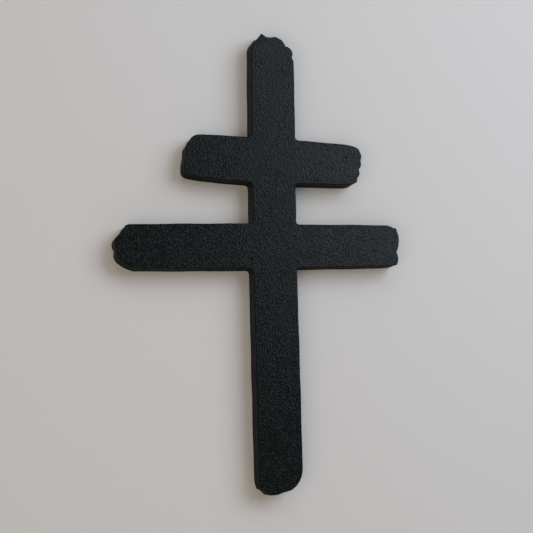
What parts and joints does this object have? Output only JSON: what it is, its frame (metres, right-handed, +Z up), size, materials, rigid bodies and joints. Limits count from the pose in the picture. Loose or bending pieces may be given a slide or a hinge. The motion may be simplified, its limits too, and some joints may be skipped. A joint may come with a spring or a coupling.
{
  "type": "wall cross",
  "caption": "Flat black cross with a short upper bar, a longer lower bar and roughly broken ends, fixed flat on a wall as an ornament.",
  "frame": {"origin": "on the back face, where the shaft crosses the long bar", "axes": "+Z up along the shaft, +X to the right seen from the front, +Y out of the back into the wall, so the front looks along -Y"},
  "size_m": [0.1504, 0.01, 0.2371],
  "materials": {
    "black_plastic": "matte, sand-grained on the front face"
  },
  "bodies": {
    "root": {"cross": "black_plastic"}
  },
  "joints": []
}
